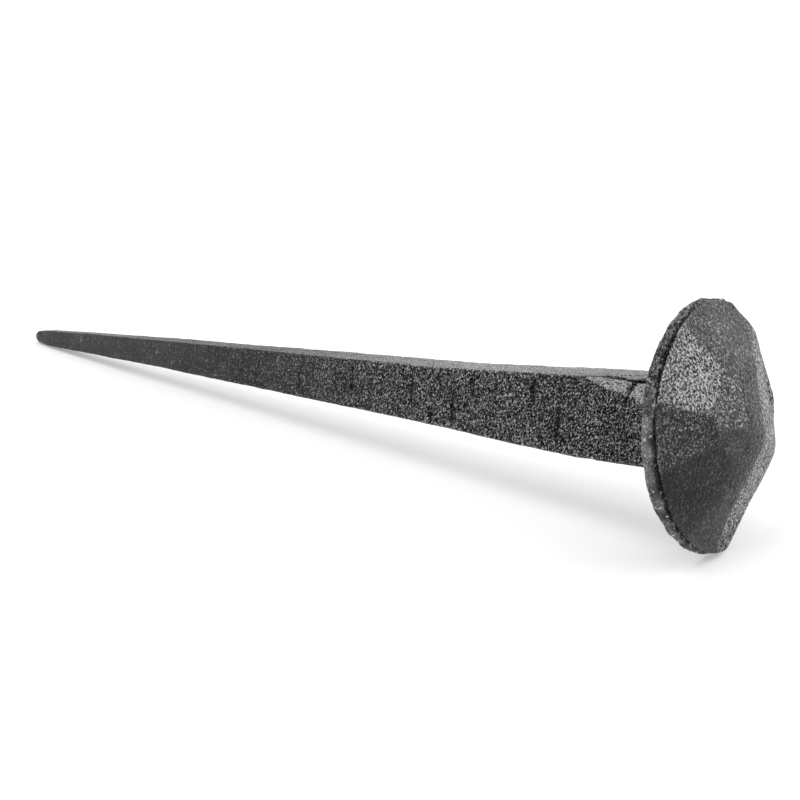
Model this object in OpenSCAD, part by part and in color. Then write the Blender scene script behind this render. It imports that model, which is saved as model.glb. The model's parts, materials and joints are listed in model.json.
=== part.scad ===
// Hand-forged spike: a square tapered shank with a round hammered head, lying on its side.
// Millimetres. +X runs from the tip to the head, +Z is up, and z = 0 is the surface it lies on.

/* [Shank] */
// length of the shank, from the underside of the head to the tip
shank_length = 150; // [120:5:180]
// width of the square bar where it meets the head
shank_width = 12.5; // [10:0.5:16]
// width left at the blunt tip
tip_width = 2; // [1:0.5:4]
// how far the square shank is rolled about its own length, degrees
shank_roll = 8.5; // [0:0.5:15]
// how far the top of the head leans back towards the tip, degrees
head_lean = 4.3; // [0:0.1:8]

/* [Head] */
// diameter of the head
head_diameter = 36; // [30:1:44]
// thickness of the back plate at its near edge
plate_near = 1.8; // [1:0.1:3]
// thickness of the back plate at its far edge
plate_far = 0.8; // [0.5:0.1:3]
// width of the open seam between the back plate and the cap
seam_gap = 0.4; // [0.2:0.1:1]
// depth of that seam
seam_depth = 0.8; // [0.4:0.1:2]
// distance from the centre of the head to the flat it rests on
rest_flat = 17.6; // [14:0.1:18]

/* [Joint] */
// how far the square bar runs into the head, from its underside
bar_reach = 3.5; // [2.5:0.1:4]
// length of straight bar behind the head, before the shank leans
neck_length = 3; // [2:0.5:6]

/* [Hidden] */
head_radius = head_diameter / 2;
rim_step = 0.2;
cap_radius = head_radius - rim_step;
corner_share = 0.06;
side_lean = 1;

// Sections of the shank: share of the length, share of the width range, rise of the centre line.
taper = [
    [0.12, 0.96, -0.1],
    [0.30, 0.70, -0.3],
    [0.55, 0.46, 0.0],
    [0.80, 0.23, 0.2],
    [0.97, 0.08, 0.1],
    [1.00, 0.00, 0.1]
];

neck_rise = 0.2;

// Flats hammered on the rim: angle about the head, distance from its centre.
// 0 degrees is the near side, 90 is the top.
rim_flats = [
    [-90, rest_flat],
    [-120, 14.0],
    [-140, 13.6],
    [-170, 15.6],
    [160, 15.0],
    [135, 16.0],
    [105, 17.5]
];

// Flats hammered on the cap: angle about the head, slope, height of the plane on the axis.
cap_flats = [
    [48, 23, 9.3],
    [51, 16, 8.1],
    [85, 24, 9.6],
    [116, 24, 9.2],
    [170, 25, 8.2],
    [145, 15, 7.2],
    [10, 22, 9.3],
    [-27, 22, 9.1],
    [-11, 14, 8.1],
    [-82, 16, 7.9],
    [-62, 24, 9.8],
    [-114, 28, 9.2]
];

// The front of the back plate slopes from its near edge to its far edge.
plate_mid = (plate_near + plate_far) / 2;
plate_slope = atan((plate_near - plate_far) / head_diameter);

function share_width(share) = tip_width + share * (shank_width - tip_width);

// A square with its corners taken off, rolled about its centre: Y and Z of each corner.
function profile(width, rise) =
    let (h = width / 2, c = width * corner_share)
    [
        for (p = [[-h, c - h], [c - h, -h], [h - c, -h], [h, c - h],
                  [h, h - c], [h - c, h], [c - h, h], [-h, h - c]])
            [p[0] * cos(shank_roll) + p[1] * sin(shank_roll),
             p[1] * cos(shank_roll) - p[0] * sin(shank_roll) + rise]
    ];

// The same square as a section across the X axis.
function section(x, width, rise) = [for (p = profile(width, rise)) [x, p[0], p[1]]];

// A point of the leaning shank in the frame of the head.
function lean(p) =
    let (x = p[0] + neck_length)
    [
        x * cos(head_lean) + p[2] * sin(head_lean) - neck_length,
        p[1] - x * sin(side_lean),
        p[2] * cos(head_lean) - x * sin(head_lean)
    ];

neck_points = concat(
    section(bar_reach, shank_width, neck_rise),
    section(-neck_length, shank_width, neck_rise)
);
blade_points = [
    for (t = taper)
        for (p = section(-t[0] * shank_length, share_width(t[1]), t[2]))
            lean(p)
];
shank_points = concat(neck_points, blade_points);
rings = len(taper) + 2;
last = 8 * (rings - 1);
shank_faces = concat(
    [[7, 6, 5, 4, 3, 2, 1, 0]],
    [
        for (r = [0 : rings - 2])
            for (k = [0 : 7])
                [8 * r + k, 8 * r + (k + 1) % 8, 8 * r + 8 + (k + 1) % 8, 8 * r + 8 + k]
    ],
    [[for (k = [0 : 7]) last + k]]
);

// The angle at which the rim and the shank both touch the surface.
lie_angle = min([for (p = blade_points) atan2(rest_flat + p[2], -p[0])]);
lift = rest_flat * cos(lie_angle);
tip_x = min([for (p = blade_points) p[0] * cos(lie_angle) - p[2] * sin(lie_angle)]);
front_x = 7.6;
centre_x = (tip_x + front_x) / 2;
centre_y = -1.1;

module place() {
    translate([-centre_x, -centre_y, lift])
    rotate([0, -lie_angle, 0])
    children();
}

// Everything in front of a plane that slopes away from the axis of the head.
module in_front_of(angle, slope, height) {
    translate([height, 0, 0])
    rotate([-angle, 0, 0])
    rotate([0, 0, -slope])
    translate([0, -40, -40])
    cube([40, 80, 80]);
}

// Everything behind a plane parallel to the front of the back plate.
module behind_seam(height) {
    translate([height, 0, 0])
    rotate([0, 0, plate_slope])
    translate([-40, -40, -40])
    cube([40, 80, 80]);
}

// Everything outside one flat of the rim.
module outside_flat(angle, distance) {
    rotate([-angle, 0, 0])
    translate([-20, -distance - 40, -40])
    cube([40, 40, 80]);
}

module disc(radius, thickness, inset) {
    difference() {
        rotate([0, 90, 0])
        cylinder(h = thickness, r = radius, $fn = 96);
        for (f = rim_flats) outside_flat(f[0], f[1] - inset);
    }
}

// The room that the end of the square bar takes up in the head.
module bar_end() {
    multmatrix([[0, 0, 1, -1], [1, 0, 0, 0], [0, 1, 0, 0], [0, 0, 0, 1]])
    linear_extrude(height = bar_reach + 1)
    polygon(profile(shank_width, neck_rise));
}

module shank() {
    color([0.20, 0.20, 0.21])
    place()
    polyhedron(points = shank_points, faces = shank_faces, convexity = 4);
}

module back_plate() {
    color([0.24, 0.24, 0.25])
    place()
    difference() {
        disc(head_radius, 4, 0);
        in_front_of(180, plate_slope, plate_mid);
        bar_end();
    }
}

module domed_cap() {
    color([0.16, 0.16, 0.17])
    place()
    difference() {
        union() {
            disc(cap_radius - seam_depth, 4, rim_step + seam_depth);
            difference() {
                disc(cap_radius, 12, rim_step);
                behind_seam(plate_mid + seam_gap);
            }
        }
        behind_seam(plate_mid);
        for (f = cap_flats) in_front_of(f[0], f[1], f[2]);
        bar_end();
    }
}

// sub-part to draw, or all of them

shank();
back_plate();
domed_cap();
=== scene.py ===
"""Hand-forged spike lying on a pale surface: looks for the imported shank, back plate and domed cap."""

import json
import math

import bpy
import numpy as np
from mathutils import Matrix, Vector, noise


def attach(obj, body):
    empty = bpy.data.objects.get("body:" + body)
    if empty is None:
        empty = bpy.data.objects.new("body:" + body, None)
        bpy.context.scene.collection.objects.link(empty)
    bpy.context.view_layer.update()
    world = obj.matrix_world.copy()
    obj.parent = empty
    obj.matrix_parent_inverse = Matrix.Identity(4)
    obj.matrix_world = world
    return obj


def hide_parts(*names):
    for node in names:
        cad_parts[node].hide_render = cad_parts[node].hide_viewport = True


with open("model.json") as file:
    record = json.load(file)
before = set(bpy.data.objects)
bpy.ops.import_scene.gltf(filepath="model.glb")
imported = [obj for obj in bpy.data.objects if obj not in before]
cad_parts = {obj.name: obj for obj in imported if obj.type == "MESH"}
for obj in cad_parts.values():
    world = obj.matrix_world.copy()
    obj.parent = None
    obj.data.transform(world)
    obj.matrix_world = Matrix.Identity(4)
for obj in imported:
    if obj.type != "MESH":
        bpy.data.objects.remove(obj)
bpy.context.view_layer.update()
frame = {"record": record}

MM = 0.001

# ---------------------------------------------------------------- sizes, in millimetres, as in the CAD
SHANK_LENGTH = 150.0
SHANK_WIDTH = 12.5
TIP_WIDTH = 2.0
SHANK_ROLL = math.radians(8.5)
HEAD_LEAN = math.radians(4.3)
SIDE_LEAN = math.radians(1.0)
NECK_LENGTH = 3.0
NECK_RISE = 0.2
BAR_REACH = 3.5         # how far the bar runs on inside the head
HEAD_RADIUS = 18.0
PLATE_NEAR = 1.8        # thickness of the plate at the near side
PLATE_FAR = 0.8         # and at the far side
SEAM_GAP = 0.4
SEAM_DEPTH = 0.8
RIM_STEP = 0.2          # how far the cap's rim lies inside the plate's
MOUNT_OUT = 12.0        # how far the mount on the underside lies from the head's centre

# Sections of the shank: share of the length, share of the width range, rise of the centre line.
TAPER = [(0.12, 0.96, -0.1), (0.30, 0.70, -0.3), (0.55, 0.46, 0.0),
         (0.80, 0.23, 0.2), (0.97, 0.08, 0.1), (1.00, 0.00, 0.1)]

# Flats hammered on the rim: angle about the head (0 is the near side, 90 the top), distance.
RIM_FLATS = [(-90, 17.6), (-120, 14.0), (-140, 13.6), (-170, 15.6), (160, 15.0), (135, 16.0), (105, 17.5)]

# Flats hammered on the cap: angle, slope, height on the axis, how pale (the painted light and shade of that
# flat), how coarse.
CAP_FLATS = [
    (48, 23, 9.3, 1.00, 0.97),
    (51, 16, 8.1, 0.48, 0.8),
    (85, 24, 9.6, 0.38, 0.75),
    (116, 24, 9.2, 0.34, 0.75),
    (170, 25, 8.2, 0.78, 0.95),
    (145, 15, 7.2, 0.24, 0.8),
    (10, 22, 9.3, 0.26, 0.80),
    (-27, 22, 9.1, 0.05, 0.3),
    (-11, 14, 8.1, 0.12, 0.4),
    (-82, 16, 7.9, 0.10, 0.5),
    (-62, 24, 9.8, 0.12, 0.4),
    (-114, 28, 9.2, 0.70, 0.92),
]

# ---------------------------------------------------------------- sizes of the visual model, in millimetres
ARRIS_ROUND = 0.75      # rounding of the bar's arrises in the head, and the most along the shank
ARRIS_SHARP = 0.12      # the least rounding along the shank
TIP_ROUND = 1.8         # length over which the point is rounded off
TIP_BLUNT = 0.25        # share of the point's width that is left at its end
FINE_REACH = 9.0        # how far from the head the shank's rings lie close together
FINE_STEP = 0.12
PLAIN_STEP = 0.28
NEAR_POINTS = 84        # points across the near side of a ring, and across each other side
SIDE_POINTS = 44
TIP_SOFT = 0.5          # how much rounder the arrises get towards the point
TIP_REACH = 10.0        # over what length
PLATE_POINTS = 900
UNDER_SHARES = (0.0, 0.25, 0.5, 0.75, 0.93)     # rings on the underside, from the opening to its edge
FRONT_SHARES = (0.15, 0.4, 0.7, 1.0)            # rings on the front face, from its edge to the opening
RIM_BAND = (-0.6, -0.1)     # distances from the outline over which the rim's lumps set in
UNDER_ROUND = 0.35      # rounding of the plate's edge on the underside, and at the seam
FRONT_ROUND = 0.25
CAP_GRID = 251          # points along each side of the grid that makes the dome's face
CAP_ROUND = 0.18        # rounding of the cap's rim
CAP_FOOT = 0.1          # chamfer at the foot of the cap's rim
RIDGE_SOFT = 0.4        # how far the ridge between two flats of the cap is worn down
RIM_SOFT = 0.15         # and the same between two flats of the rim

# Marks of the hammer's edge across the near side: distance from the head, top and bottom of the mark.
TOOL_MARKS = [(22.0, 5.0, 9.8), (26.5, 1.0, 4.5), (38.4, 0.8, 4.0), (42.5, 3.4, 7.6), (51.0, 2.0, 6.0),
              (47.0, 6.5, 8.6), (64.0, 1.5, 5.0), (76.0, 2.0, 5.5)]
MARK_DEPTH = 0.18
MARK_WIDTH = 0.42       # half the width of a mark at the surface
MARK_FLOOR = 0.12       # and at its bottom
MARK_SLANT = 0.3        # how far its low end lies beyond its top end
MARK_RAGGED = 0.25      # how ragged its sides are

# Forged surface of the shank.
ALONG_BAR = np.array([0.35, 1.0, 1.0])      # stretches a layer of unevenness along the bar
ACROSS_BAR = np.array([1.0, 0.25, 0.25])    # stretches it across the bar
THIN_SHARE = 0.35       # share of the unevenness that is left where the bar is thin
THICK_HALF = 6.0        # half the width from which all of it is there
BLOW_DEPTH = 0.035
PIT_START = 0.15        # level of the noise above which a pit opens
PIT_DEPTH = 0.09
NICK_DEPTH = 0.22
NICK_PROUD = -0.2       # the most that an arris stands proud between its nicks
HEAD_CLEAR = (0.2, 3.0)     # distances from the head over which the unevenness sets in

# The bevel on the near upper arris: how far from the head it runs, and how deep it is at the head.
BEVEL_LENGTH = 22.0
BEVEL_DROP = 5.4
BEVEL_TILT = math.radians(24)
BEVEL_START = (0.5, 6.0)    # distances from the head over which it reaches its full depth

# Routes of the cracks: distance from the head, distance below the upper face or in from the near one.
CRACK = [(6.5, 0.2), (9.1, 0.4), (9.7, 1.0), (10.3, 2.8)]
LAP = [(23.0, 0.15), (15.4, 0.1), (11.6, 0.25), (9.3, 0.4)]
FOLD = [(15.5, 3.2), (10.5, 5.6), (7.0, 6.6)]

# Half the width, and the depth, of each crack.
CRACK_CUT = (0.36, 0.8)
LAP_CUT = (0.20, 0.35)
FOLD_CUT = (0.25, 0.25)
CRACK_FLOOR = 0.04      # half the width of a crack at its bottom
NEAR_BAND = 2.6         # how far in from the near face a crack of the side can reach
TOP_BAND = 0.8          # how far below the upper face the fold can reach

# How much wider the seam is at places round the head: angle, spread, amount.
SEAM_WIDTHS = [(50, 8, 0.26), (27, 8, -0.32), (-12, 7, 0.32), (6, 8, 0.10), (-28, 4, -0.15), (-45, 8, 0.25),
               (92, 17, -0.36), (-90, 18, -0.36), (180, 60, -0.15)]
SEAM_LEAST = 0.05       # what is left of the seam where it is hammered shut
SEAM_MOST = 0.35        # how much wider than usual it gets
PLATE_WEAR = 0.6        # share of the extra width that comes off the plate; the rest comes off the cap

# Layers of unevenness: depth, size of a feature, seed. Where the depth is 1, the layer's user scales it.
SHANK_WAVES = (0.16, 4.2, 1)
SHANK_LUMPS = (0.07, 2.2, 2)
SHANK_BLOWS = (1.0, 1.6, 3)
SHANK_PITS = (1.0, 0.75, 4)
SHANK_SCALE = (0.025, 0.45, 5)
ARRIS_NICKS = (1.0, 1.5, 6)
BEVEL_BUMPS = (0.05, 1.3, 8)
CRACK_WANDER = (0.12, 0.9, 9)
RIM_WAVES = (0.20, 3.2, 11)
RIM_LUMPS = (0.16, 1.1, 12)
RIM_NICKS = (0.10, 0.5, 14)
RIM_FRONT = (0.10, 2.0, 13)
PLATE_BLOTCHES = (0.35, 1.6, 15)
PLATE_SPECKS = (1.0, 0.55, 31)
SEAM_WEAR = (0.16, 1.4, 16)
CAP_WAVES = (0.10, 3.0, 21)
CAP_LUMPS = (0.05, 1.6, 22)
CAP_PITS = (0.13, 0.8, 23)
CAP_SCALE = (0.06, 0.45, 24)

# ---------------------------------------------------------------- looks
# Tones say how pale the iron shows, from 0 to 1 and a little beyond: its own colour, with painted light and
# shade added.
POINT_TONE = 0.08       # the shank near its point
HEAD_TONE = 0.27        # added towards the head
TOP_PAINTED_LIGHT = 0.36         # painted light added on the upper face
BEVEL_TONE = 1.4
TONE_FADE = (92.0, 46.0)    # distances from the head between which the shank gets paler
GRAIN_FADE = (118, 48)      # and between which it gets coarser
BEVEL_EDGE = (0.02, 0.12)       # depths of the cut between which the bevel's tone sets in
TOP_EDGE = (-0.30, -0.05)       # heights beside the upper face between which its painted light sets in
BARE_TONE = (0.01, 0.045)       # tones between which the smooth floor of a crack turns to grain
POINT_COARSE = 0.18         # how coarse the grain is near the point
MARK_DARK = 0.92        # how much darker a tool mark is
CRACK_DARK = 0.95       # and a crack
PLATE_TONE = 0.54
PLATE_TOP = 0.22        # painted light added on the upper part of the plate
PLATE_LOW = 0.18        # painted shade taken off its lower part
PLATE_FALL = 0.06       # taken off all of it
PLATE_UPPER = (2.0, 12.0)       # heights between which the upper part's painted light sets in
PLATE_LOWER = (2.0, -12.0)      # and the lower part's painted shade
LIP_EDGE = (0.8, 0.1)   # distances behind the front face between which the lip's painted shade sets in
PLATE_COARSE = 0.40
PLATE_TOP_COARSE = 0.5  # added on the upper part
# Painted shade: at the lip beside the seam, and on the front face inside the groove.
LIP_PAINTED_SHADE = 0.30
GROOVE_PAINTED_SHADE = 0.9
# Specks on the rim are painted glints.
SPECK_PAINTED_GLINT = 1.6
SPECK_START = (0.42, 0.55)      # levels of the noise between which a speck, a painted glint, appears
SEAM_PAINTED_SHADE = 0.1         # share of the cap's tone that is left inside the seam, as painted shade
FLAT_EDGE = 0.03        # over what height between two flats of the cap their looks change
RIM_SHARE = 0.94        # where the cap's rim starts, as a share of its radius
RIM_PITTED = 0.3        # share of the pits that is left at the cap's rim

# The iron itself.
DARK = 0.003            # brightness where the tone is 0
IRON_IOR = 1.25
IRON_METALLIC = 0.6
STROKE_LEAN = math.radians(25)      # how far the strokes in the grain lean from upright
LUMP_SIZE = 2.2         # size of the lumps, in grains
LUMP_SHARE = 0.18       # how much the lumps raise, beside the grains
TONE_SHARE = 0.12       # how much a pale tone raises the grains
PEAK_START = 0.63       # relief from which a grain shows pale
PEAK_TONES = (0.45, 1.1)        # how pale the peaks are where the tone is 0 and where it is 1
LIFT_TONES = (0.55, 1.9)        # how much less or more pale one peak is than another
BROAD_SIZE = 5.0        # size of the broad patches, in millimetres
BROAD_TONES = (0.8, 1.2)        # how much darker and paler they are
# Painted glints: pale specks in the colour that stand for the sparkle of the scale.
GLINT_SIZE = 0.8
GLINT_START = (0.69, 0.73)      # levels of the noise between which a painted glint appears
SMOOTH_RELIEF = 0.15    # how much relief is left where the iron is smooth
HOLLOW_DULL = 0.1       # how much rougher than usual the sheen is in a hollow
PEAK_BRIGHT = 0.08      # and how much less rough on a lump

FLOOR_GREY = 0.78
FLOOR_GLOW = 0.325
FLOOR_REACH = 6.0       # metres, to each side
SKY_POWER = 0.30

# ---------------------------------------------------------------- placing: the head's own frame
mount = next(m for m in frame["record"]["mounts"] if m["name"] == "head_underside")
head_x = -Vector(mount["axis"]).normalized()
head_y = Vector((0.0, 1.0, 0.0))
head_z = head_x.cross(head_y)
head_origin = Vector(mount["pos_m"]) + head_y * MOUNT_OUT * MM


def to_row(points):
    """Points in the head's frame, in millimetres, to the row frame, in metres."""
    turn = np.array([head_x, head_y, head_z])
    return points @ turn * MM + np.array(head_origin)


def grain(points, size, seed):
    """Smooth noise from -1 to 1 with features of that size, at each point."""
    shift = Vector((seed * 17.3, seed * 5.1, seed * 11.7))
    return np.array([noise.noise(Vector(p) / size + shift) for p in points])


def bumps(points, layer):
    """One layer of unevenness at each point."""
    depth, size, seed = layer
    return depth * grain(points, size, seed)


def smooth(low, high, x):
    """0 up to low and 1 from high, with a soft step between them. High may be below low."""
    t = np.clip((x - low) / (high - low), 0.0, 1.0)
    return t * t * (3.0 - 2.0 * t)


def from_route(points, axes, route):
    """Distance of each point from a route of straight stretches, seen along the third axis."""
    nearest = np.full(len(points), 99.0)
    for start, end in zip(route[:-1], route[1:]):
        run = np.array(end) - np.array(start)
        away = points[:, axes] - np.array(start)
        share = np.clip(away @ run / (run @ run), 0, 1)
        nearest = np.minimum(nearest, np.linalg.norm(away - share[:, None] * run, axis=1))
    return nearest


def ring_faces(lower, upper):
    """The quads between two closed rings, from the indices of their points."""
    count = len(lower)
    faces = []
    for k in range(count):
        after = (k + 1) % count
        faces.append((lower[k], lower[after], upper[after], upper[k]))
    return faces


def build(name, points, faces, tone, coarse, material, node):
    """A piece from its points in the head's frame. tone and coarse steer its material."""
    mesh = bpy.data.meshes.new(name)
    mesh.from_pydata(to_row(points).tolist(), [], faces)
    for label, values in (("tone", tone), ("coarse", coarse)):
        layer = mesh.attributes.new(label, "FLOAT", "POINT")
        layer.data.foreach_set("value", np.asarray(values, dtype=np.float32))
    mesh.polygons.foreach_set("use_smooth", [True] * len(mesh.polygons))
    mesh.materials.append(material)
    piece = bpy.data.objects.new(name, mesh)
    bpy.context.scene.collection.objects.link(piece)
    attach(piece, "root")
    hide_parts(node)


# ---------------------------------------------------------------- outlines
def round_square(y, z, half, corner):
    """Points on a square moved onto its rounded outline, and the outline's normal at each."""
    inner = half - corner
    core_y = np.clip(y, -inner, inner)
    core_z = np.clip(z, -inner, inner)
    length = np.maximum(np.hypot(y - core_y, z - core_z), 1e-9)
    normal_y = (y - core_y) / length
    normal_z = (z - core_z) / length
    return core_y + normal_y * corner, core_z + normal_z * corner, normal_y, normal_z


def across(angle, radius):
    """Y and Z of a point at that angle about the head: 0 is the near side, 90 degrees the top."""
    return -radius * np.cos(angle), radius * np.sin(angle)


def bar_outline(angle):
    """Radius of the square bar's end at each angle about the head."""
    y, z = across(angle, 1.0)
    own = np.arctan2(z, y) + SHANK_ROLL
    y, z = np.cos(own), np.sin(own)
    half = SHANK_WIDTH / 2
    scale = half / np.maximum(np.abs(y), np.abs(z))
    y, z, _, _ = round_square(y * scale, z * scale, half, ARRIS_ROUND)
    return np.hypot(y, z)


def rim_radius(angle, inset=0.0):
    """Outline of the head at each angle, with its hammered flats, softened where they meet."""
    radius = np.full_like(angle, HEAD_RADIUS - inset)
    for flat, distance in RIM_FLATS:
        turn = np.cos(angle - math.radians(flat))
        reach = np.where(turn > 0.2, (distance - inset) / np.maximum(turn, 0.2), 99.0)
        radius = -RIM_SOFT * np.logaddexp(-radius / RIM_SOFT, -reach / RIM_SOFT)
    return radius


def plate_front(y):
    """Height of the plate's front face above the underside, which falls towards the far side."""
    slope = (PLATE_NEAR - PLATE_FAR) / (2 * HEAD_RADIUS)
    return (PLATE_NEAR + PLATE_FAR) / 2 - slope * y


def seam_opening(angle):
    """How much wider than usual the seam is worn at each angle, or how far it is hammered shut."""
    opening = np.zeros_like(angle)
    for centre, spread, amount in SEAM_WIDTHS:
        turn = np.degrees(np.angle(np.exp(1j * (angle - math.radians(centre)))))
        opening += amount * np.exp(-0.5 * (turn / spread) ** 2)
    y, z = across(angle, HEAD_RADIUS)
    opening += bumps(np.stack([y, z, 0 * y], -1), SEAM_WEAR)
    return np.clip(opening, SEAM_LEAST - SEAM_GAP, SEAM_MOST)


# ---------------------------------------------------------------- the shank
def taper_at(reach):
    """Share of the width range, and rise of the centre line, at a distance from the head."""
    stations = [(-BAR_REACH, 1.0, NECK_RISE), (NECK_LENGTH, 1.0, NECK_RISE)]
    stations += [(share * SHANK_LENGTH, width, rise) for share, width, rise in TAPER]
    at, width, rise = zip(*stations)
    return np.interp(reach, at, width), np.interp(reach, at, rise)


def half_at(reach):
    """Half the shank's width at a distance from the head."""
    return (TIP_WIDTH + taper_at(reach)[0] * (SHANK_WIDTH - TIP_WIDTH)) / 2


def shank_reach():
    """Distance of each ring of the shank from the head, close together beside it and at the tip."""
    tip = SHANK_LENGTH - TIP_ROUND
    return np.concatenate([
        np.linspace(-BAR_REACH, 0.0, 5)[:-1],
        np.arange(0.0, FINE_REACH, FINE_STEP),
        np.arange(FINE_REACH, tip, PLAIN_STEP),
        tip + TIP_ROUND * np.sin(np.linspace(0.0, math.pi / 2, 12)[:-1]),
    ])


def square_loop():
    """Points round a square from -1 to 1, closer together on its near side."""
    near = np.linspace(-1, 1, NEAR_POINTS, endpoint=False)
    side = np.linspace(-1, 1, SIDE_POINTS, endpoint=False)
    loop = []
    for step, turn in ((near, 180), (side, 270), (side, 0), (side, 90)):
        c, s = np.cos(math.radians(turn)), np.sin(math.radians(turn))
        loop.append(np.stack([c - step * s, s + step * c], -1))
    return np.concatenate(loop)


def shank_sections(reach):
    """Half the width and the rounding of the arrises at each ring, with the point rounded off."""
    end = np.clip((reach - (SHANK_LENGTH - TIP_ROUND)) / TIP_ROUND, 0.0, 1.0)
    half = half_at(reach) * (TIP_BLUNT + (1.0 - TIP_BLUNT) * np.sqrt(1.0 - end ** 2))
    corner = np.clip(half * 0.10, ARRIS_SHARP, ARRIS_ROUND)
    corner = corner + TIP_SOFT * smooth(SHANK_LENGTH - TIP_REACH, SHANK_LENGTH, reach)
    corner = np.minimum(corner, half * 0.9)
    return half, np.where(reach < 0.5, ARRIS_ROUND, corner)


def shank_rings(reach, half, corner, loop):
    """The plain tapered bar, and its normals, as one point after another."""
    half = half[:, None]
    corner = corner[:, None]
    y, z, normal_y, normal_z = round_square(loop[:, 0] * half, loop[:, 1] * half, half, corner)
    along = np.broadcast_to(reach[:, None], y.shape)
    points = np.stack([along, y, z], -1).reshape(-1, 3)
    normal = np.stack([np.zeros_like(along), normal_y, normal_z], -1).reshape(-1, 3)
    return points, normal


def tool_marks(points, blows):
    """1 inside a mark of the hammer's edge on the near side, 0 outside."""
    marked = np.zeros(len(points))
    for at, top_end, low_end in TOOL_MARKS:
        route = [(at, half_at(at) - top_end), (at + MARK_SLANT, half_at(at) - low_end)]
        gap = from_route(points, [0, 2], route)
        mark = smooth(MARK_WIDTH, MARK_FLOOR, gap + MARK_RAGGED * blows) * (points[:, 1] < 0)
        marked = np.maximum(marked, mark)
    return marked


def hammer_shank(points, normal, width):
    """The bar with its hammer blows, lumps, pits, ragged arrises and tool marks, and where those are."""
    calm = THIN_SHARE + (1.0 - THIN_SHARE) * np.clip(width / THICK_HALF, 0, 1)
    stretched = points * ALONG_BAR
    push = bumps(stretched, SHANK_WAVES) * calm + bumps(points, SHANK_LUMPS) * calm
    blows = bumps(points * ACROSS_BAR, SHANK_BLOWS)
    push += BLOW_DEPTH * blows * calm
    push -= PIT_DEPTH * np.clip(bumps(points, SHANK_PITS) - PIT_START, 0, 1) * calm
    push += bumps(points, SHANK_SCALE)
    edge = np.abs(normal[:, 1] * normal[:, 2]) * 2
    push -= edge * NICK_DEPTH * np.clip(bumps(stretched, ARRIS_NICKS), NICK_PROUD, 1) * calm
    marked = tool_marks(points, blows)
    push -= MARK_DEPTH * marked
    clear = smooth(*HEAD_CLEAR, points[:, 0])
    return points + normal * (push * clear)[:, None], marked


def bevel_normal():
    """Which way the bevel faces, in the bar's own frame."""
    along = np.array([BEVEL_LENGTH, 0.0, BEVEL_DROP])
    along = along / np.linalg.norm(along)
    side = np.array([0.0, -1.0, 0.0])
    up = np.cross(side, along)
    up = up * np.sign(up[2])
    return side * math.cos(BEVEL_TILT) + up * math.sin(BEVEL_TILT)


def cut_bevel(points, face):
    """The bar with its near upper arris bevelled beside the head, and how much was cut off."""
    half = SHANK_WIDTH / 2
    over = (points - np.array([BEVEL_LENGTH, -half, half])) @ face
    over = over + bumps(points, BEVEL_BUMPS)
    cut = np.clip(over, 0.0, None) * smooth(*BEVEL_START, points[:, 0])
    return points - face * cut[:, None], cut


def shank_tone(points, width, cut):
    """How pale the shank is: most on the bevel, then painted light on the upper face, and darker towards
    the point.
    """
    bevel = smooth(*BEVEL_EDGE, cut)
    # top: where the upper face gets its painted light
    top = smooth(*TOP_EDGE, points[:, 2] - width)
    fade = smooth(*TONE_FADE, points[:, 0])
    tone = POINT_TONE + HEAD_TONE * fade + TOP_PAINTED_LIGHT * top * (0.1 + 0.9 * fade)
    return np.maximum(tone, BEVEL_TONE * bevel)


def open_cracks(points, tone, face):
    """The crack and the lap in the bevel and the fold in the upper face, sunk in and darkened."""
    half = SHANK_WIDTH / 2
    crack = [(at, half - below) for at, below in CRACK]
    lap = [(at, half - below) for at, below in LAP]
    fold = [(at, inside - half) for at, inside in FOLD]
    wander = bumps(points, CRACK_WANDER)
    near = points[:, 1] < -half + NEAR_BAND
    above = points[:, 2] > half - TOP_BAND
    inward = np.where(near[:, None], face, [0.0, 0.0, 1.0])
    cuts = ((near, [0, 2], crack, CRACK_CUT), (near, [0, 2], lap, LAP_CUT), (above, [0, 1], fold, FOLD_CUT))
    for facing, axes, route, (breadth, depth) in cuts:
        gap = from_route(points, axes, route) + wander
        deep = np.where(facing, smooth(breadth, CRACK_FLOOR, gap), 0.0)
        points = points - inward * (depth * deep)[:, None]
        tone = tone * (1 - CRACK_DARK * deep)
    return points, tone


def lean_shank(points, rise):
    """The bar's own frame to the head's: it runs along -X, rolled, and leans beyond the neck."""
    c, s = math.cos(SHANK_ROLL), math.sin(SHANK_ROLL)
    x = -points[:, 0]
    y = points[:, 1] * c + points[:, 2] * s
    z = points[:, 2] * c - points[:, 1] * s + rise
    beyond = np.minimum(x + NECK_LENGTH, 0.0)
    leaning = (x < -NECK_LENGTH).astype(float)
    c, s = math.cos(HEAD_LEAN), math.sin(HEAD_LEAN)
    return np.stack([
        x + leaning * (beyond * c + z * s - beyond),
        y - beyond * math.sin(SIDE_LEAN),
        z * (1 + leaning * (c - 1)) - beyond * s,
    ], -1)


def shank_faces(rings, count):
    """The quads along the shank, and the two faces that close its ends."""
    faces = []
    for ring in range(rings - 1):
        lower = range(ring * count, (ring + 1) * count)
        upper = range((ring + 1) * count, (ring + 2) * count)
        faces += ring_faces(lower, upper)
    faces.append(tuple(reversed(range(count))))
    faces.append(tuple(range((rings - 1) * count, rings * count)))
    return faces


def make_shank():
    """The forged bar, from inside the head to its blunt point."""
    reach = shank_reach()
    loop = square_loop()
    half, corner = shank_sections(reach)
    width = np.repeat(half, len(loop))
    rise = np.repeat(taper_at(reach)[1], len(loop))
    plain, normal = shank_rings(reach, half, corner, loop)
    forged, marked = hammer_shank(plain, normal, width)
    face = bevel_normal()
    points, cut = cut_bevel(forged, face)
    points, tone = open_cracks(points, shank_tone(points, width, cut), face)
    tone = tone * (1.0 - MARK_DARK * marked)
    coarse = POINT_COARSE + (1.0 - POINT_COARSE) * smooth(*GRAIN_FADE, forged[:, 0])
    coarse = coarse * smooth(*BARE_TONE, tone)
    build("forged_shank", lean_shank(points, rise), shank_faces(len(reach), len(loop)), tone, coarse,
          shank_iron(), "shank")


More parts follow.
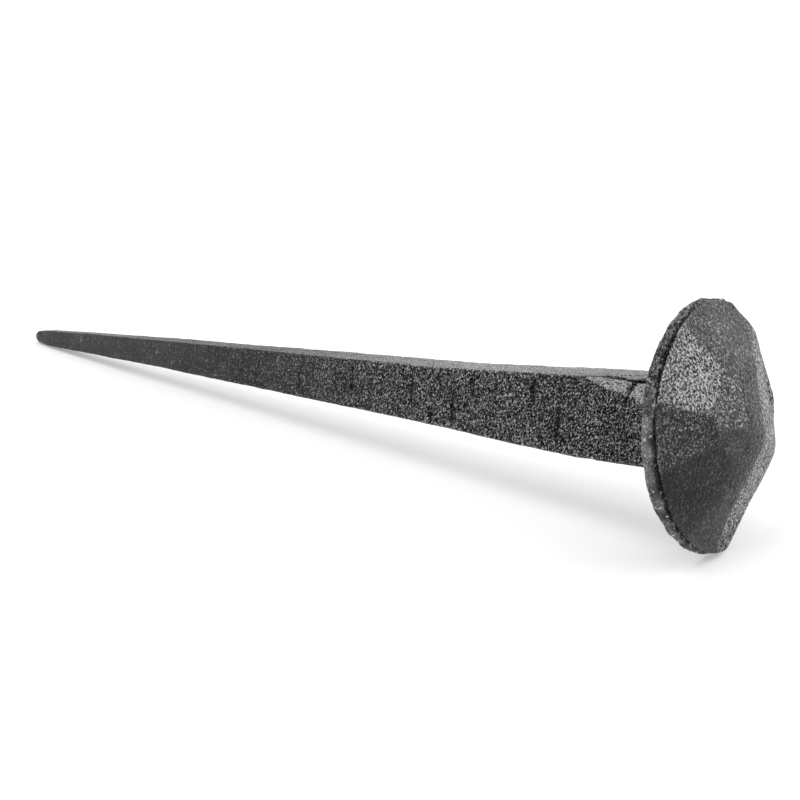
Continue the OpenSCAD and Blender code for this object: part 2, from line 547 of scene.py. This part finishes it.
# ---------------------------------------------------------------- the back plate
def plate_rings(angle):
    """Radius and height of the plate's rings: underside, its edge, the rim, the seam edge, front face."""
    outer = rim_radius(angle)
    hole = bar_outline(angle)
    thick = plate_front(across(angle, outer)[0]) - seam_opening(angle) * PLATE_WEAR
    rings = []
    for share in UNDER_SHARES:
        radius = hole + (outer - UNDER_ROUND - hole) * share / UNDER_SHARES[-1]
        rings.append((radius, np.zeros_like(outer)))
    for turn in np.radians(np.linspace(0, 90, 6)[1:]):
        radius = outer - UNDER_ROUND + UNDER_ROUND * math.sin(turn)
        rings.append((radius, np.full_like(outer, UNDER_ROUND * (1 - math.cos(turn)))))
    for share in np.linspace(0.0, 1.0, 9)[1:]:
        rings.append((outer, UNDER_ROUND + (thick - (UNDER_ROUND + FRONT_ROUND)) * share))
    for turn in np.radians(np.linspace(0, 90, 5)[1:]):
        radius = outer - FRONT_ROUND * (1 - math.cos(turn))
        rings.append((radius, thick - FRONT_ROUND + FRONT_ROUND * math.sin(turn)))
    for share in FRONT_SHARES:
        radius = outer - FRONT_ROUND + (hole - outer + FRONT_ROUND) * share
        rings.append((radius, plate_front(across(angle, radius)[0])))
    return rings, outer


def roughen_plate(points, band):
    """The plate with its rim lumpy and nicked. band is 1 on the rim and 0 on the faces."""
    out = points * np.array([0.0, 1.0, 1.0])
    out /= np.maximum(np.linalg.norm(out, axis=1), 1e-9)[:, None]
    push = bumps(points, RIM_WAVES) + bumps(points, RIM_LUMPS) + bumps(points, RIM_NICKS)
    points = points + out * (push * band)[:, None]
    points[:, 0] += bumps(points, RIM_FRONT) * band * smooth(0.1, 0.5, points[:, 0])
    return points


def plate_looks(points, band):
    """How pale and how coarse the plate is: blotched, with painted light on its upper part, painted shade
    at the lip, below and in the groove, and painted glints on the rim.
    """
    # top and low: painted light on the upper part, painted shade on the lower part
    top = smooth(*PLATE_UPPER, points[:, 2])
    low = smooth(*PLATE_LOWER, points[:, 2])
    lip = smooth(*LIP_EDGE, plate_front(points[:, 1]) - points[:, 0])
    tone = PLATE_TONE + bumps(points, PLATE_BLOTCHES) + PLATE_TOP * top - PLATE_LOW * low
    # painted shade at the lip beside the groove
    tone = tone - LIP_PAINTED_SHADE * lip * (0.3 + 0.4 * top)
    # groove: painted shade on the plate's front face inside the seam
    groove = (1.0 - band) * (points[:, 0] > PLATE_FAR / 2)
    # specks: painted glints on the rim, mostly on its lower part
    specks = smooth(*SPECK_START, bumps(points, PLATE_SPECKS)) * (1.0 - top)
    tone = tone * (1.0 - GROOVE_PAINTED_SHADE * groove) - PLATE_FALL + SPECK_PAINTED_GLINT * specks * band
    return tone, PLATE_COARSE + PLATE_TOP_COARSE * top


def plate_faces(rings, count):
    """The quads from ring to ring, and from the last ring back to the first."""
    faces = []
    for ring in range(rings):
        here = ring * count
        there = (ring + 1) % rings * count
        for k in range(count):
            after = (k + 1) % count
            faces.append((here + k, there + k, there + after, here + after))
    return faces


def make_plate():
    """The round plate behind the dome, with the opening that the bar passes through."""
    angle = np.linspace(0, 2 * math.pi, PLATE_POINTS, endpoint=False)
    rings, outer = plate_rings(angle)
    points = []
    band = []
    for radius, height in rings:
        y, z = across(angle, radius)
        points.append(np.stack([height, y, z], -1))
        band.append(smooth(*RIM_BAND, radius - outer))
    band = np.concatenate(band)
    points = roughen_plate(np.concatenate(points), band)
    tone, coarse = plate_looks(points, band)
    build("back_disc", points, plate_faces(len(rings), PLATE_POINTS), tone, coarse,
          plate_iron(), "back_plate")


# ---------------------------------------------------------------- the domed cap
def cap_height(y, z):
    """Height of the hammered flats above the underside, with their painted light and shade, and how coarse
    they are.
    """
    planes = []
    for angle, slope, height, _, _ in CAP_FLATS:
        turn = math.radians(angle)
        planes.append(height - math.tan(math.radians(slope)) * (-y * math.cos(turn) + z * math.sin(turn)))
    planes = np.array(planes)
    # pale: the painted light and shade of each flat, set by which way it faces
    pale = [flat[3] for flat in CAP_FLATS]
    rough = [flat[4] for flat in CAP_FLATS]
    low = planes.min(0)
    height = low - RIDGE_SOFT * np.log(np.exp(-(planes - low) / RIDGE_SOFT).sum(0))
    weight = np.exp(-(planes - low) / FLAT_EDGE)
    weight = weight / weight.sum(0)
    return height, np.tensordot(pale, weight, 1), np.tensordot(rough, weight, 1)


def square_to_disc(n):
    """A grid over the unit disc with no pole, and the indices of its edge in order."""
    line = np.linspace(-1, 1, n)
    a, b = np.meshgrid(line, line, indexing="ij")
    wide = np.abs(a) > np.abs(b)
    with np.errstate(divide="ignore", invalid="ignore"):
        turn = np.where(wide, math.pi / 4 * b / a, math.pi / 2 - math.pi / 4 * a / b)
    turn = np.nan_to_num(turn)
    big = np.where(wide, a, b)
    index = np.arange(n * n).reshape(n, n)
    edge = np.concatenate([index[:-1, 0], index[-1, :-1], index[:0:-1, -1], index[0, :0:-1]])
    return (big * np.cos(turn)).ravel(), (big * np.sin(turn)).ravel(), index, edge


def cap_top(y, z, share):
    """The dome's face with its dents and pits, its painted light and shade, and how coarse it is, from the
    plain grid.
    """
    height, tone, coarse = cap_height(y, z)
    height = np.maximum(height, plate_front(y) + SEAM_GAP + 2 * CAP_ROUND)
    top = np.stack([height, y, z], -1)
    inner = smooth(1.0, RIM_SHARE, share)
    dents = bumps(top, CAP_WAVES) + bumps(top, CAP_LUMPS)
    pits = bumps(top, CAP_PITS) + bumps(top, CAP_SCALE)
    top[:, 0] += dents * inner + pits * coarse * (RIM_PITTED + (1.0 - RIM_PITTED) * inner)
    return top, tone, coarse


def cap_rings(angle, outer, edge_height):
    """Radius and height of the rings from the dome's edge: rim, foot, neck in the seam, bar's seat."""
    base = plate_front(across(angle, outer)[0]) + SEAM_GAP + seam_opening(angle) * (1.0 - PLATE_WEAR)
    neck = outer - SEAM_DEPTH
    hole = bar_outline(angle)
    rim = []
    for turn in (30, 60, 90):
        a = math.radians(turn)
        rim.append((outer - CAP_ROUND + CAP_ROUND * math.sin(a),
                    edge_height - CAP_ROUND + CAP_ROUND * math.cos(a)))
    rim.append((outer, base + CAP_FOOT))
    hidden = [
        (outer - CAP_FOOT, base),
        (neck, base),
        (neck, plate_front(across(angle, neck)[0])),
        (hole, plate_front(across(angle, hole)[0])),
        (hole, np.full(len(angle), BAR_REACH)),
    ]
    return rim, hidden


def make_cap():
    """The hammered dome, its stepped rim, the neck in the seam, and the seat of the bar's end."""
    y, z, index, edge = square_to_disc(CAP_GRID)
    angle = np.arctan2(z, -y)
    share = np.hypot(y, z)
    outer = rim_radius(angle, RIM_STEP)
    y, z = across(angle, share * (outer - CAP_ROUND))
    top, tone, coarse = cap_top(y, z, share)
    rim, hidden = cap_rings(angle[edge], outer[edge], top[edge, 0])
    faces = []
    for i in range(CAP_GRID - 1):
        for j in range(CAP_GRID - 1):
            faces.append((index[i, j], index[i, j + 1], index[i + 1, j + 1], index[i + 1, j]))
    points, tones, coarses = [top], [tone], [coarse]
    previous = list(edge)
    begin = len(top)
    for ring, (radius, height) in enumerate(rim + hidden):
        y, z = across(angle[edge], radius)
        points.append(np.stack([height, y, z], -1))
        # inside the seam the cap's tone drops as painted shade
        tones.append(tone[edge] * (1.0 if ring < len(rim) else SEAM_PAINTED_SHADE))
        coarses.append(coarse[edge])
        current = list(range(begin, begin + len(edge)))
        faces += ring_faces(previous, current)
        previous = current
        begin += len(edge)
    faces.append(tuple(reversed(previous)))
    build("hammered_dome", np.concatenate(points), [tuple(int(i) for i in face) for face in faces],
          np.concatenate(tones), np.concatenate(coarses), cap_iron(), "domed_cap")


# ---------------------------------------------------------------- materials
class Looks:
    """A new material, and short calls that add nodes to it."""

    def __init__(self, name):
        self.material = bpy.data.materials.new(name)
        self.material.use_nodes = True
        self.nodes = self.material.node_tree.nodes
        self.links = self.material.node_tree.links
        self.shader = self.nodes["Principled BSDF"]

    def feed(self, socket, value):
        """Sets a socket to a number, or links another node's output to it."""
        if isinstance(value, (int, float)):
            socket.default_value = value
        else:
            self.links.new(value, socket)

    def strokes(self, stretch):
        """Object coordinates stretched along the leaning strokes of the grain."""
        place = self.nodes.new("ShaderNodeTexCoord")
        node = self.nodes.new("ShaderNodeMapping")
        node.vector_type = "TEXTURE"
        node.inputs["Rotation"].default_value = (0.0, STROKE_LEAN, 0.0)
        node.inputs["Scale"].default_value = (1.0, 1.0, stretch)
        self.feed(node.inputs["Vector"], place.outputs["Object"])
        return node.outputs["Vector"]

    def noise(self, vector, size, detail, rough=0.6):
        """Noise with features of that size, in millimetres."""
        node = self.nodes.new("ShaderNodeTexNoise")
        node.inputs["Scale"].default_value = 1.0 / (size * MM)
        node.inputs["Detail"].default_value = detail
        node.inputs["Roughness"].default_value = rough
        self.feed(node.inputs["Vector"], vector)
        return node.outputs["Fac"]

    def attribute(self, label):
        """One of the mesh's own values, such as its tone."""
        node = self.nodes.new("ShaderNodeAttribute")
        node.attribute_name = label
        return node.outputs["Fac"]

    def ramp(self, value, low, high, out_low=0.0, out_high=1.0):
        """A value taken from one range to another, held at the ends."""
        node = self.nodes.new("ShaderNodeMapRange")
        node.inputs["From Min"].default_value = low
        node.inputs["From Max"].default_value = high
        node.inputs["To Min"].default_value = out_low
        node.inputs["To Max"].default_value = out_high
        self.feed(node.inputs["Value"], value)
        return node.outputs["Result"]

    def maths(self, kind, a, b):
        """Two values added or multiplied."""
        node = self.nodes.new("ShaderNodeMath")
        node.operation = kind
        self.feed(node.inputs[0], a)
        self.feed(node.inputs[1], b)
        return node.outputs[0]

    def mix(self, share, a, b):
        """A share of the way from one value to another."""
        node = self.nodes.new("ShaderNodeMix")
        self.feed(node.inputs["Factor"], share)
        self.feed(node.inputs["A"], a)
        self.feed(node.inputs["B"], b)
        return node.outputs["Result"]

    def grey(self, share, dark, pale):
        """A share of the way from a dark grey to a pale one."""
        node = self.nodes.new("ShaderNodeMix")
        node.data_type = "RGBA"
        node.inputs["A"].default_value = (dark, dark, dark, 1)
        node.inputs["B"].default_value = (pale, pale, pale, 1)
        self.feed(node.inputs["Factor"], share)
        return node.outputs["Result"]

    def bump(self, height, depth):
        """A surface normal from a height, with its depth in millimetres."""
        node = self.nodes.new("ShaderNodeBump")
        node.inputs["Strength"].default_value = 1.0
        node.inputs["Distance"].default_value = depth * MM
        self.feed(node.inputs["Height"], height)
        return node.outputs["Normal"]


def iron(name, pale, roughness, painted_glint, depth, size, stretch, spread):
    """Forge-blackened iron. The tone attribute says how pale it shows, painted light and shade included,
    and the coarse one how grainy.

    pale is its brightness at tone 1, painted_glint how bright its painted glints are, depth and size those
    of its grain in millimetres, stretch how long its strokes are, and spread how soft a grain's edge is.
    """
    looks = Looks(name)
    looks.shader.inputs["IOR"].default_value = IRON_IOR
    looks.shader.inputs["Metallic"].default_value = IRON_METALLIC
    place = looks.strokes(stretch)
    tone = looks.attribute("tone")
    coarse = looks.attribute("coarse")
    lumps = looks.noise(place, LUMP_SIZE * size, 2)
    grains = looks.noise(place, size, 2, rough=0.8)
    relief = looks.maths("ADD", looks.maths("MULTIPLY", lumps, LUMP_SHARE), grains)
    level = grain_level(looks, place, tone, coarse, relief, size, spread)
    # painted glints: pale specks that stand for the sparkle of the scale
    painted_glints = looks.ramp(looks.noise(place, GLINT_SIZE, 1), *GLINT_START)
    level = looks.maths("ADD", level, looks.maths("MULTIPLY", painted_glints, painted_glint))
    looks.feed(looks.shader.inputs["Base Color"], looks.grey(level, DARK, pale))
    sheen = looks.ramp(lumps, 0.3, 0.7, roughness + HOLLOW_DULL, roughness - PEAK_BRIGHT)
    looks.feed(looks.shader.inputs["Roughness"], sheen)
    raised = looks.maths("ADD", looks.maths("MULTIPLY", coarse, 1.0 - SMOOTH_RELIEF), SMOOTH_RELIEF)
    normal = looks.bump(looks.maths("MULTIPLY", relief, raised), depth)
    looks.feed(looks.shader.inputs["Normal"], normal)
    return looks.material


def grain_level(looks, place, tone, coarse, relief, size, spread):
    """How pale the iron is: even where it is smooth, and pale peaks on dark where it is coarse."""
    raised = looks.maths("ADD", relief, looks.maths("MULTIPLY", tone, TONE_SHARE))
    peaks = looks.ramp(raised, PEAK_START, PEAK_START + spread)
    peaks = looks.maths("MULTIPLY", peaks, looks.ramp(tone, 0.0, 1.0, *PEAK_TONES))
    lift = looks.ramp(looks.noise(place, size, 1), 0.35, 0.65, *LIFT_TONES)
    level = looks.mix(coarse, tone, looks.maths("MULTIPLY", peaks, lift))
    broad = looks.ramp(looks.noise(place, BROAD_SIZE, 3), 0.3, 0.7, *BROAD_TONES)
    return looks.maths("MULTIPLY", level, broad)


def shank_iron():
    """Pale grains in long strokes on near-black scale."""
    return iron("shank_iron", pale=1.0, roughness=0.30, painted_glint=0.2,
                depth=2.6, size=0.22, stretch=1.6, spread=0.19)


def plate_iron():
    """Smoother, greyer scale with bright painted glints."""
    return iron("plate_iron", pale=0.60, roughness=0.34, painted_glint=1.6,
                depth=1.6, size=0.32, stretch=1.0, spread=0.22)


def cap_iron():
    """Soft-edged grains on the dome's flats."""
    return iron("cap_iron", pale=0.78, roughness=0.34, painted_glint=0.1,
                depth=2.2, size=0.32, stretch=1.15, spread=0.28)


def floor_paint():
    """The white surface, a little bright of its own so that shadows on it stay pale."""
    looks = Looks("pale_floor")
    looks.shader.inputs["Base Color"].default_value = (FLOOR_GREY, FLOOR_GREY, FLOOR_GREY, 1)
    looks.shader.inputs["Emission Color"].default_value = (1, 1, 1, 1)
    looks.shader.inputs["Emission Strength"].default_value = FLOOR_GLOW
    looks.shader.inputs["Roughness"].default_value = 0.9
    looks.shader.inputs["Specular IOR Level"].default_value = 0.1
    return looks.material


# ---------------------------------------------------------------- floor, light and camera
def pale_floor():
    """The surface that the spike lies on."""
    far = FLOOR_REACH
    corners = [(-far, -far, 0), (far, -far, 0), (far, far, 0), (-far, far, 0)]
    mesh = bpy.data.meshes.new("floor")
    mesh.from_pydata(corners, [], [(0, 1, 2, 3)])
    mesh.materials.append(floor_paint())
    floor = bpy.data.objects.new("floor", mesh)
    bpy.context.scene.collection.objects.link(floor)


def area_light(name, place, size, power):
    """A rectangular lamp that points at the middle of the object."""
    lamp = bpy.data.lights.new(name, "AREA")
    lamp.shape = "RECTANGLE"
    lamp.size, lamp.size_y = size
    lamp.energy = power
    lamp_object = bpy.data.objects.new(name, lamp)
    lamp_object.location = place
    aim = Vector((0.0, 0.0, 0.0)) - Vector(place)
    lamp_object.rotation_euler = aim.to_track_quat("-Z", "Y").to_euler()
    bpy.context.scene.collection.objects.link(lamp_object)


def lights():
    """Soft white light from all round, from above, from the near left, and from behind."""
    world = bpy.data.worlds.new("studio")
    world.use_nodes = True
    background = world.node_tree.nodes["Background"]
    background.inputs["Color"].default_value = (1, 1, 1, 1)
    background.inputs["Strength"].default_value = SKY_POWER
    bpy.context.scene.world = world
    area_light("overhead", place=(0.0, 0.0, 2.0), size=(3.2, 3.2), power=31.0)
    area_light("key", place=(-0.7, -0.75, 2.0), size=(1.6, 1.6), power=14.0)
    area_light("back", place=(1.4, 3.0, 1.5), size=(6.0, 2.0), power=112.0)


def camera():
    """A close view from the head's side, a little above the floor."""
    azimuth = math.radians(39.3)
    elevation = math.radians(18.7)
    roll = math.radians(0.2)
    target = Vector((15.3, 0.4, 9.1)) * MM
    distance = 284.0
    back = Vector((math.sin(azimuth) * math.cos(elevation),
                   -math.cos(azimuth) * math.cos(elevation), math.sin(elevation)))
    data = bpy.data.cameras.new("camera")
    data.sensor_width = 36.0
    data.lens = 80.0
    data.clip_start = 0.01
    lens = bpy.data.objects.new("camera", data)
    lens.location = target + back * distance * MM
    turn = (-back).to_track_quat("-Z", "Y").to_matrix() @ Matrix.Rotation(roll, 3, "Z")
    lens.rotation_euler = turn.to_euler()
    bpy.context.scene.collection.objects.link(lens)
    bpy.context.scene.camera = lens


make_shank()
make_plate()
make_cap()
pale_floor()
lights()
camera()
bpy.context.scene.view_settings.view_transform = "Standard"
